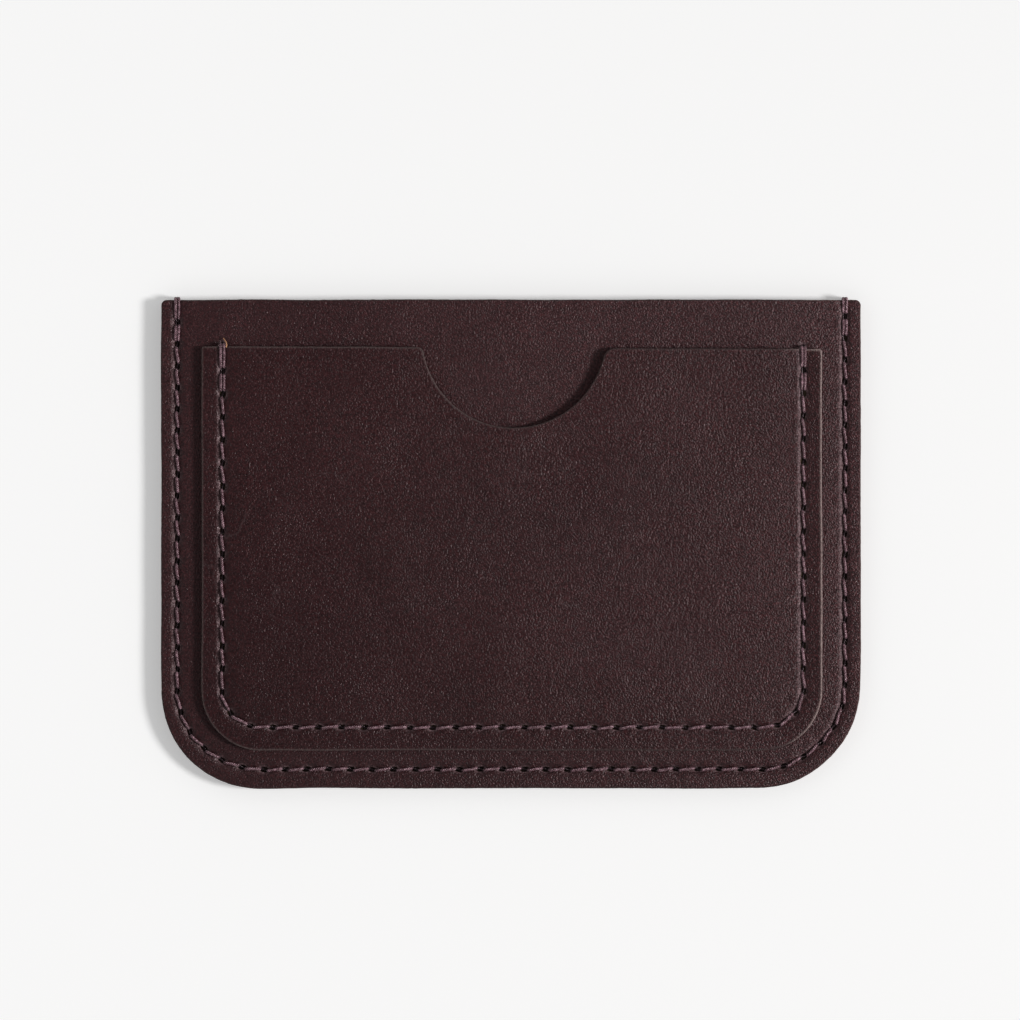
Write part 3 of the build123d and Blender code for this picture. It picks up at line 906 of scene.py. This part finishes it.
def make_thread(name, path, radius, pitch, plies, seed, extra=()):
    """A twisted thread: one closed skin whose section is three plies wound round each other."""
    Q, painted_hole_shade = path
    T = np.gradient(Q, axis=0)
    T /= np.linalg.norm(T, axis=1)[:, None]
    N = np.zeros_like(Q)
    v = np.array([1.0, 0.2, 0.0])
    v = v - T[0] * (v @ T[0])
    N[0] = v / np.linalg.norm(v)
    for i in range(1, len(Q)):
        v = N[i - 1] - T[i] * (N[i - 1] @ T[i])
        N[i] = v / np.linalg.norm(v)
    B = np.cross(T, N)
    d = np.linalg.norm(np.diff(Q, axis=0), axis=1)
    s = np.concatenate([[0], np.cumsum(d)])
    per = 6
    m = plies * per
    rh = radius * 0.50
    rp = radius - rh
    rp = radius * 0.56
    rh = radius - rp
    theta = np.arange(m) * 2 * math.pi / m
    half = math.pi / plies
    delta = np.abs((theta + half) % (2 * half) - half)
    rad = rh * np.cos(delta) + np.sqrt(np.maximum(rp**2 - (rh * np.sin(delta)) ** 2, 0))
    lobe = np.cos(delta * plies)  # 1 on a ply's crown, -1 in the groove
    r = np.random.default_rng(seed)
    lam = r.uniform(2.0, 9.0, 6)
    ph = r.uniform(0, 6.28, 6)
    swell = 1 + 0.02 * sum(np.sin(2 * math.pi * s / l + p) for l, p in zip(lam, ph))
    phase = -2 * math.pi * s / pitch + 0.5 * np.sin(2 * math.pi * s / 7.3 + 1)
    ang = theta[None] + phase[:, None]
    R = rad[None] * swell[:, None]
    co = (
        Q[:, None]
        + (R * np.cos(ang))[..., None] * N[:, None]
        + (R * np.sin(ang))[..., None] * B[:, None]
    )
    k = len(Q)
    verts = co.reshape(-1, 3)
    i = np.arange(k - 1)[:, None] * m
    j = np.arange(m)[None]
    jn = (j + 1) % m
    quads = np.stack([i + j, i + jn, i + m + jn, i + m + j], -1).reshape(-1, 4)
    ends = np.array([Q[0] - T[0] * radius * 0.3, Q[-1] + T[-1] * radius * 0.3])
    base = len(verts)
    verts = np.vstack([verts, ends])
    faces = [tuple(int(x) for x in q) for q in quads]
    for a in range(m):
        b = (a + 1) % m
        faces.append((base, b, a))
        faces.append((base + 1, (k - 1) * m + a, (k - 1) * m + b))
    # crown drives the painted shade in the grooves and the painted highlight on the crowns
    crown = np.concatenate([np.tile(lobe * 0.5 + 0.5, k), [0.5, 0.5]])
    run = np.concatenate([np.repeat(s, m), [0, s[-1]]])
    around = np.concatenate([np.tile(theta, k), [0, 0]])
    singed = np.zeros(len(crown))
    painted_hole_shade = np.concatenate([np.repeat(painted_hole_shade, m), [1, 1]])
    for points, r0, r1, burn in extra:
        v, f = fibre_tube(points, r0, r1)
        base = len(verts)
        verts = np.vstack([verts, v])
        faces += [tuple(x + base for x in q) for q in f]
        crown = np.concatenate([crown, np.full(len(v), 0.9)])
        run = np.concatenate([run, np.linspace(0, 1, len(v))])
        around = np.concatenate([around, np.zeros(len(v))])
        singed = np.concatenate([singed, np.full(len(v), burn)])
        painted_hole_shade = np.concatenate([painted_hole_shade, np.zeros(len(v))])
    mesh = bpy.data.meshes.new(name)
    mesh.from_pydata((verts * MM).tolist(), [], faces)
    mesh.update()
    mesh.polygons.foreach_set("use_smooth", [True] * len(mesh.polygons))
    for key, val in (("crown", crown), ("run", run), ("around", around), ("singed", singed), ("painted_hole_shade", painted_hole_shade)):
        att = mesh.attributes.new(key, "FLOAT", "POINT")
        att.data.foreach_set("value", val.astype(np.float32))
    obj = bpy.data.objects.new(name, mesh)
    bpy.context.collection.objects.link(obj)
    return obj


def meet_outer(p):
    return (0 + 2 * T_BODY + GLUE) / 2


def pocket_under(p):
    q = np.asarray(p)[None]
    return float((Z_BACK_TOP + front_gap(q))[0])


def meet_pocket(p):
    return pocket_under(p) + (T_BODY + GLUE + T_POCKET) / 2


outer_top_seam = lambda p: front_top_flat(p) - 0.29 + 0.2
pocket_top_seam = lambda p: pocket_top_flat(p) - 0.18 + 0.2
outer_low_seam = lambda p: np.full(len(p), 0.215)
pocket_low_seam = lambda p: Z_BACK_TOP + front_gap(p) + 0.40 - 0.215

passes_outer = thread_passes(outer_holes, 0.56, 0.17, 0.235, 91)
passes_outer_low = thread_passes(outer_holes, 0.205, -0.03, 0.205, 92)
passes_pocket = thread_passes(pocket_holes, 0.56, 0.17, 0.235, 93)
passes_pocket_low = thread_passes(pocket_holes, 0.205, -0.03, 0.205, 94)

line = thread_path(passes_outer, outer_top_seam, lambda p: meet_outer(p) + 0.22, 1, 0.42, 0.07, 95)
outer_needle = make_thread(
    "outer_seam_upper_thread", line, THREAD_R, 0.95, 3, 96, stray_fibres(line[0], 9, 196)
)
line = thread_path(passes_outer_low, outer_low_seam, lambda p: meet_outer(p) - 0.22, -1, 0.3, -0.02, 97)
outer_bobbin = make_thread("outer_seam_lower_thread", line, 0.2, 0.95, 3, 98)
line = thread_path(passes_pocket, pocket_top_seam, lambda p: meet_pocket(p) + 0.22, 1, 0.42, 0.07, 99)
# the cut end of the pocket's thread, singed tan, stands up at the left end of its mouth
tail_z = float(front_top_flat(np.array([[-42.8, 30.6]]))[0])
tail = [
    (-43.12, 30.86, tail_z + 0.22), (-42.96, 30.62, tail_z + 0.42), (-42.74, 30.3, tail_z + 0.66),
    (-42.58, 29.9, tail_z + 0.95), (-42.66, 29.5, tail_z + 1.18),
]
pocket_needle = make_thread(
    "pocket_seam_upper_thread", line, THREAD_R, 0.95, 3, 100,
    [(tail, 0.07, 0.13, 1.0)] + stray_fibres(line[0], 7, 197),
)
line = thread_path(passes_pocket_low, pocket_low_seam, lambda p: meet_pocket(p) - 0.22, -1, 0.3, -0.02, 101)
pocket_bobbin = make_thread("pocket_seam_lower_thread", line, 0.2, 0.95, 3, 102)


# ============================================================ materials
def new_material(name):
    m = bpy.data.materials.new(name)
    m.use_nodes = True
    nt = m.node_tree
    for n in list(nt.nodes):
        nt.nodes.remove(n)
    out = nt.nodes.new("ShaderNodeOutputMaterial")
    bsdf = nt.nodes.new("ShaderNodeBsdfPrincipled")
    nt.links.new(bsdf.outputs[0], out.inputs[0])
    return m, nt, bsdf


def node(nt, kind, **kw):
    n = nt.nodes.new(kind)
    for k, v in kw.items():
        setattr(n, k, v)
    return n


def math_node(nt, op, a, b=None, clamp=False):
    n = node(nt, "ShaderNodeMath", operation=op, use_clamp=clamp)
    for i, v in enumerate((a, b)):
        if v is None:
            continue
        if hasattr(v, "links"):
            nt.links.new(v, n.inputs[i])
        else:
            n.inputs[i].default_value = v
    return n.outputs[0]


def ramp(nt, fac, stops):
    n = node(nt, "ShaderNodeValToRGB")
    cr = n.color_ramp
    while len(cr.elements) > 1:
        cr.elements.remove(cr.elements[0])
    cr.elements[0].position = stops[0][0]
    cr.elements[0].color = stops[0][1]
    for p, c in stops[1:]:
        e = cr.elements.new(p)
        e.color = c
    nt.links.new(fac, n.inputs[0])
    return n.outputs[0]


def grey(v):
    return (v, v, v, 1)


def mix_rgb(nt, fac, a, b, blend="MIX"):
    n = node(nt, "ShaderNodeMix", data_type="RGBA", blend_type=blend)
    for sock, v in ((n.inputs[0], fac), (n.inputs[6], a), (n.inputs[7], b)):
        if hasattr(v, "links"):
            nt.links.new(v, sock)
        else:
            sock.default_value = v
    return n.outputs[2]


def mapping(nt, scale):
    tc = node(nt, "ShaderNodeTexCoord")
    mp = node(nt, "ShaderNodeMapping")
    mp.inputs["Scale"].default_value = scale
    nt.links.new(tc.outputs["Object"], mp.inputs["Vector"])
    return mp.outputs[0]


def noise(nt, vec, scale, detail=3.0, rough=0.55, distort=0.0):
    n = node(nt, "ShaderNodeTexNoise")
    n.inputs["Scale"].default_value = scale
    n.inputs["Detail"].default_value = detail
    n.inputs["Roughness"].default_value = rough
    n.inputs["Distortion"].default_value = distort
    nt.links.new(vec, n.inputs["Vector"])
    return n.outputs[0]


def voronoi(nt, vec, scale, feature="F1", rand=1.0):
    n = node(nt, "ShaderNodeTexVoronoi", feature=feature)
    n.inputs["Scale"].default_value = scale
    n.inputs["Randomness"].default_value = rand
    nt.links.new(vec, n.inputs["Vector"])
    return n.outputs[0]


def bump(nt, height, strength, distance, normal=None):
    n = node(nt, "ShaderNodeBump")
    n.inputs["Strength"].default_value = strength
    n.inputs["Distance"].default_value = distance
    nt.links.new(height, n.inputs["Height"])
    if normal is not None:
        nt.links.new(normal, n.inputs["Normal"])
    return n.outputs[0]


def leather(name, stretch, base, dark, light, raw, grain_bump, rough_mean):
    m, nt, bsdf = new_material(name)
    vec = mapping(nt, (1, stretch, 1))
    plain = mapping(nt, (1, 1, 1))
    broad = noise(nt, plain, 38, 2, 0.5)
    cloud = noise(nt, plain, 420, 4, 0.6)
    fine = noise(nt, vec, 3900, 1, 0.5)
    cells = voronoi(nt, vec, 3000, "F1")
    crease = voronoi(nt, vec, 1300, "DISTANCE_TO_EDGE")
    crease = ramp(nt, crease, [(0.0, grey(0)), (0.16, grey(1))])

    where_x = node(nt, "ShaderNodeSeparateXYZ")
    nt.links.new(plain, where_x.inputs[0])

    # colour: dye clouds, darker in the pores, raw cut edge
    col = ramp(nt, broad, [(0.32, dark), (0.5, base), (0.68, light)])
    col = mix_rgb(nt, ramp(nt, cloud, [(0.35, grey(0)), (0.65, grey(0.5))]), col, light)
    pores = ramp(nt, cells, [(0.25, grey(0.0)), (0.62, grey(0.55))])
    col = mix_rgb(nt, pores, col, dark)
    speck = noise(nt, vec, 3100, 2, 0.6)
    col = mix_rgb(nt, 1.0, col, ramp(nt, speck, [(0.3, (0.45, 0.5, 0.5, 1)), (0.5, (0.95, 0.95, 0.98, 1)), (0.7, (1.65, 1.5, 1.5, 1))]), "MULTIPLY")
    # grain specks multiplied into the colour, more strongly towards the right: the grain's own speckle, strengthened
    # on the right as painted sparkle from the key light
    grain_specks_and_painted_sparkle = noise(nt, vec, 3700, 2, 0.7)
    grain_specks_and_painted_sparkle = ramp(nt, grain_specks_and_painted_sparkle, [(0.36, (0.35, 0.35, 0.35, 1)), (0.5, (0.97, 0.97, 0.97, 1)), (0.64, (2.0, 2.0, 2.0, 1))])
    right = ramp(nt, math_node(nt, "ADD", math_node(nt, "MULTIPLY", where_x.outputs[0], 10.0), 0.5, True),
                 [(0.2, grey(0.1)), (0.55, grey(0.3)), (0.95, grey(0.8))])
    col = mix_rgb(nt, right, col, grain_specks_and_painted_sparkle, "MULTIPLY")
    # painted highlight: hole rims and the seam lip, from the rim attribute, are lightened to a pale pink
    rim = node(nt, "ShaderNodeAttribute", attribute_name="rim")
    painted_glint = math_node(nt, "MULTIPLY", rim.outputs["Fac"], ramp(nt, speck, [(0.4, grey(0.2)), (0.62, grey(0.95))]))
    col = mix_rgb(nt, painted_glint, col, (0.23, 0.155, 0.165, 1))
    # painted shade: the leather is darkened towards the bottom of the wallet
    painted_shade_towards_bottom = ramp(nt, math_node(nt, "ADD", math_node(nt, "MULTIPLY", where_x.outputs[1], 12.5), 0.5, True),
                [(0.0, (0.84, 0.80, 0.80, 1)), (0.35, (0.98, 0.97, 0.97, 1)), (1.0, (1.1, 1.1, 1.1, 1))])
    col = mix_rgb(nt, 1.0, col, painted_shade_towards_bottom, "MULTIPLY")
    # faint scuffs
    bent = noise(nt, plain, 150, 2, 0.5)
    mp = node(nt, "ShaderNodeMix", data_type="RGBA", blend_type="LINEAR_LIGHT")
    mp.inputs[0].default_value = 0.004
    nt.links.new(plain, mp.inputs[6])
    nt.links.new(bent, mp.inputs[7])
    line = voronoi(nt, mp.outputs[2], 55, "DISTANCE_TO_EDGE")
    line = ramp(nt, line, [(0.0, grey(1)), (0.008, grey(0))])
    where = ramp(nt, noise(nt, plain, 62, 2, 0.5), [(0.56, grey(0)), (0.68, grey(0.32))])
    col = mix_rgb(nt, math_node(nt, "MULTIPLY", line, where), col, (0.10, 0.07, 0.072, 1))
    edge = node(nt, "ShaderNodeAttribute", attribute_name="edge")
    fibre = noise(nt, mapping(nt, (1, 1, 3)), 2600, 3, 0.65)
    e = math_node(nt, "MULTIPLY", edge.outputs["Fac"], ramp(nt, fibre, [(0.3, grey(0.35)), (0.65, grey(1))]), True)
    # painted highlight: the cut edge's colour changes along x and is much brighter at the right end, where the edge
    # faces the key light
    edge_tone_and_painted_highlight = ramp(nt, math_node(nt, "ADD", math_node(nt, "MULTIPLY", where_x.outputs[0], 10.0), 0.5, True),
                [(0.04, grey(0.30)), (0.3, grey(0.25)), (0.55, grey(0.14)), (0.905, grey(0.14)), (0.955, grey(0.85))])
    col = mix_rgb(nt, e, col, mix_rgb(nt, 1.0, edge_tone_and_painted_highlight, raw, "MULTIPLY"))
    nt.links.new(col, bsdf.inputs["Base Color"])

    # finish: semi-matte, tiny glints between the pores, dull cut edge
    r = ramp(nt, fine, [(0.3, grey(rough_mean - 0.11)), (0.7, grey(rough_mean + 0.11))])
    r = mix_rgb(nt, edge.outputs["Fac"], r, grey(0.8))
    nt.links.new(r, bsdf.inputs["Roughness"])
    bsdf.inputs["IOR"].default_value = 1.45
    bsdf.inputs["Specular IOR Level"].default_value = 0.49
    bsdf.inputs["Specular Tint"].default_value = (1.0, 0.83, 0.85, 1)

    # relief: pebbled cells, fine grain and faint long creases
    h = math_node(nt, "MULTIPLY", cells, -0.35)
    h = math_node(nt, "ADD", h, math_node(nt, "MULTIPLY", fine, 1.9))
    h = math_node(nt, "ADD", h, math_node(nt, "MULTIPLY", crease, 0.2))
    h = math_node(nt, "ADD", h, math_node(nt, "MULTIPLY", cloud, 0.5))
    bold = ramp(nt, math_node(nt, "ADD", math_node(nt, "MULTIPLY", where_x.outputs[0], 10.0), 0.5, True),
                [(0.05, grey(0.37)), (0.5, grey(0.47)), (0.95, grey(0.60))])
    h = math_node(nt, "MULTIPLY", h, math_node(nt, "MULTIPLY", bold, 2.0))
    nrm = bump(nt, h, grain_bump, 0.00009)
    nrm = bump(nt, math_node(nt, "MULTIPLY", fibre, edge.outputs["Fac"]), 0.7, 0.00008, nrm)
    nt.links.new(nrm, bsdf.inputs["Normal"])
    return m


body_mat = leather(
    "panel_leather", 1.0,
    (0.0380, 0.0125, 0.0137, 1), (0.0292, 0.0090, 0.0101, 1), (0.0458, 0.0157, 0.0171, 1),
    (0.060, 0.022, 0.018, 1), 1.0, 0.385,
)
pocket_mat = leather(
    "pocket_leather", 0.92,
    (0.0305, 0.0081, 0.0090, 1), (0.0232, 0.0056, 0.0065, 1), (0.0370, 0.0105, 0.0116, 1),
    (0.40, 0.30, 0.285, 1), 1.0, 0.385,
)


def thread_material():
    m, nt, bsdf = new_material("sewing_thread")
    crown = node(nt, "ShaderNodeAttribute", attribute_name="crown")
    run = node(nt, "ShaderNodeAttribute", attribute_name="run")
    around = node(nt, "ShaderNodeAttribute", attribute_name="around")
    vec = mapping(nt, (1, 1, 1))
    mottle = noise(nt, vec, 2300, 3, 0.6)
    # painted shade and highlight: the colour darkens into the grooves between plies and lightens on their crowns
    col = ramp(
        nt, crown.outputs["Fac"],
        [(0.0, (0.013, 0.004, 0.006, 1)), (0.5, (0.068, 0.025, 0.033, 1)), (0.85, (0.142, 0.056, 0.073, 1)), (1.0, (0.170, 0.070, 0.090, 1))],
    )
    # painted highlight: bright pink specks mixed into the colour stand in for glints on the filaments
    col = mix_rgb(nt, ramp(nt, mottle, [(0.46, grey(0)), (0.66, grey(0.6))]), col, (0.52, 0.30, 0.36, 1))
    # painted shade: the thread is darkened where it runs down into the holes
    painted_hole_shade = node(nt, "ShaderNodeAttribute", attribute_name="painted_hole_shade")
    col = mix_rgb(nt, math_node(nt, "MULTIPLY", painted_hole_shade.outputs["Fac"], 0.9), col, (0.006, 0.003, 0.004, 1))
    singed = node(nt, "ShaderNodeAttribute", attribute_name="singed")
    col = mix_rgb(nt, singed.outputs["Fac"], col, (0.55, 0.27, 0.12, 1))
    nt.links.new(col, bsdf.inputs["Base Color"])
    # filaments, running at a slant along each ply
    k = math_node(nt, "ADD", math_node(nt, "MULTIPLY", around.outputs["Fac"], 15.0),
                  math_node(nt, "MULTIPLY", run.outputs["Fac"], 30.0))
    w = math_node(nt, "SINE", k)
    r = ramp(nt, math_node(nt, "ADD", math_node(nt, "MULTIPLY", w, 0.25), mottle), [(0.2, grey(0.24)), (0.8, grey(0.38))])
    nt.links.new(r, bsdf.inputs["Roughness"])
    bsdf.inputs["IOR"].default_value = 1.55
    bsdf.inputs["Specular IOR Level"].default_value = 1.0
    bsdf.inputs["Specular Tint"].default_value = (1.0, 0.82, 0.86, 1)
    bsdf.inputs["Sheen Weight"].default_value = 0.25
    bsdf.inputs["Sheen Roughness"].default_value = 0.4
    bsdf.inputs["Sheen Tint"].default_value = (0.9, 0.72, 0.78, 1)
    h = math_node(nt, "ADD", math_node(nt, "MULTIPLY", w, 0.3), mottle)
    nt.links.new(bump(nt, h, 0.6, 0.00003), bsdf.inputs["Normal"])
    return m


def cement_material():
    m, nt, bsdf = new_material("contact_cement")
    vec = mapping(nt, (1, 1, 1))
    n1 = noise(nt, vec, 500, 4, 0.6)
    col = ramp(nt, n1, [(0.3, (0.10, 0.065, 0.035, 1)), (0.7, (0.19, 0.13, 0.075, 1))])
    nt.links.new(col, bsdf.inputs["Base Color"])
    nt.links.new(ramp(nt, n1, [(0.3, grey(0.35)), (0.7, grey(0.6))]), bsdf.inputs["Roughness"])
    nt.links.new(bump(nt, n1, 0.5, 0.0001), bsdf.inputs["Normal"])
    return m


thread_mat = thread_material()
cement_mat = cement_material()

for obj, mat in (
    (back, body_mat), (front, body_mat), (pocket, pocket_mat),
    (outer_glue, cement_mat), (pocket_glue, cement_mat),
    (outer_needle, thread_mat), (outer_bobbin, thread_mat),
    (pocket_needle, thread_mat), (pocket_bobbin, thread_mat),
):
    obj.data.materials.append(mat)

# ============================================================ frame
for obj, cad, slot in (
    (back, "back_panel", "panel_leather"),
    (front, "front_panel", "panel_leather"),
    (pocket, "pocket_panel", "pocket_leather"),
    (outer_glue, "outer_seam_adhesive", "adhesive"),
    (pocket_glue, "pocket_seam_adhesive", "adhesive"),
    (outer_needle, "outer_seam_needle_thread", "thread"),
    (outer_bobbin, "outer_seam_bobbin_thread", "thread"),
    (pocket_needle, "pocket_seam_needle_thread", "thread"),
    (pocket_bobbin, "pocket_seam_bobbin_thread", "thread"),
):
    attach(obj, "root")
    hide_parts(cad)


# ============================================================ stage
fm, fnt, fb = new_material("pale_floor")
tc = node(fnt, "ShaderNodeTexCoord")
sep = node(fnt, "ShaderNodeSeparateXYZ")
fnt.links.new(tc.outputs["Object"], sep.inputs[0])
across = math_node(fnt, "ADD", math_node(fnt, "MULTIPLY", sep.outputs[0], 1 / 0.2), 0.5, True)
paper = noise(fnt, tc.outputs["Object"], 900, 3, 0.6)
shade = ramp(fnt, across, [(0.0, (0.91, 0.91, 0.91, 1)), (1.0, (0.775, 0.775, 0.775, 1))])
glow = ramp(fnt, across, [(0.0, (0.33, 0.33, 0.33, 1)), (1.0, (0.235, 0.235, 0.235, 1))])
fnt.links.new(shade, fb.inputs["Base Color"])
# a lit table top: it glows a little by itself, so shadows on it stay pale and even
fnt.links.new(glow, fb.inputs["Emission Color"])
fb.inputs["Emission Strength"].default_value = 1.0
fb.inputs["Roughness"].default_value = 0.9
fb.inputs["Specular IOR Level"].default_value = 0.0
fnt.links.new(bump(fnt, paper, 0.1, 0.00002), fb.inputs["Normal"])
fmesh = bpy.data.meshes.new("floor")
S = 3.0
fmesh.from_pydata([(-S, -S, 0), (S, -S, 0), (S, S, 0), (-S, S, 0)], [], [(0, 1, 2, 3)])
fmesh.update()
floor = bpy.data.objects.new("floor", fmesh)
floor.location.z = -0.00002
bpy.context.collection.objects.link(floor)
fmesh.materials.append(fm)

# ============================================================ light and camera
sc = bpy.context.scene
sc.view_settings.view_transform = "Standard"
sc.view_settings.look = "None"
sc.view_settings.exposure = 0.0
sc.view_settings.gamma = 1.0

world = bpy.data.worlds.new("studio")
sc.world = world
world.use_nodes = True
wnt = world.node_tree
for n in list(wnt.nodes):
    wnt.nodes.remove(n)
wout = wnt.nodes.new("ShaderNodeOutputWorld")
wbg = wnt.nodes.new("ShaderNodeBackground")
wtc = wnt.nodes.new("ShaderNodeTexCoord")
wsep = wnt.nodes.new("ShaderNodeSeparateXYZ")
wnt.links.new(wtc.outputs["Generated"], wsep.inputs[0])
wcol = ramp(
    wnt, wsep.outputs[2],
    [(0.0, grey(0.9)), (0.12, grey(0.6)), (0.3, grey(0.45)), (0.5, grey(0.6)), (0.7, grey(0.5)), (0.85, grey(0.2)), (0.95, grey(0.08)), (1.0, grey(0.05))],
)
wnt.links.new(wcol, wbg.inputs[0])
wbg.inputs[1].default_value = 0.82
wnt.links.new(wbg.outputs[0], wout.inputs[0])


def aim(obj, target):
    obj.rotation_mode = "QUATERNION"
    obj.rotation_quaternion = (Vector(target) - obj.location).to_track_quat("-Z", "Y")


key_data = bpy.data.lights.new("key_softbox", "AREA")
key_data.shape = "DISK"
dist, az, el = 0.85, math.radians(-4.5), math.radians(38.5)
key_data.size = 2 * dist * math.tan(math.radians(7))
key_data.energy = 5.4
key_data.color = (1.0, 0.993, 0.985)
key = bpy.data.objects.new("key_softbox", key_data)
key.location = (
    dist * math.cos(el) * math.cos(az), dist * math.cos(el) * math.sin(az), dist * math.sin(el),
)
aim(key, (0, 0, 0))
bpy.context.collection.objects.link(key)

cam_data = bpy.data.cameras.new("camera")
cam = bpy.data.objects.new("camera", cam_data)
height = 0.9
cam_data.sensor_width = 36
cam_data.lens = 36 * (height - 0.0025) / 0.153
cam_data.clip_start = 0.05
cam_data.clip_end = 20
cam.location = (-0.00015, 0.0051, height)
cam.rotation_euler = (0, 0, 0)
bpy.context.collection.objects.link(cam)
sc.camera = cam

bpy.context.view_layer.update()
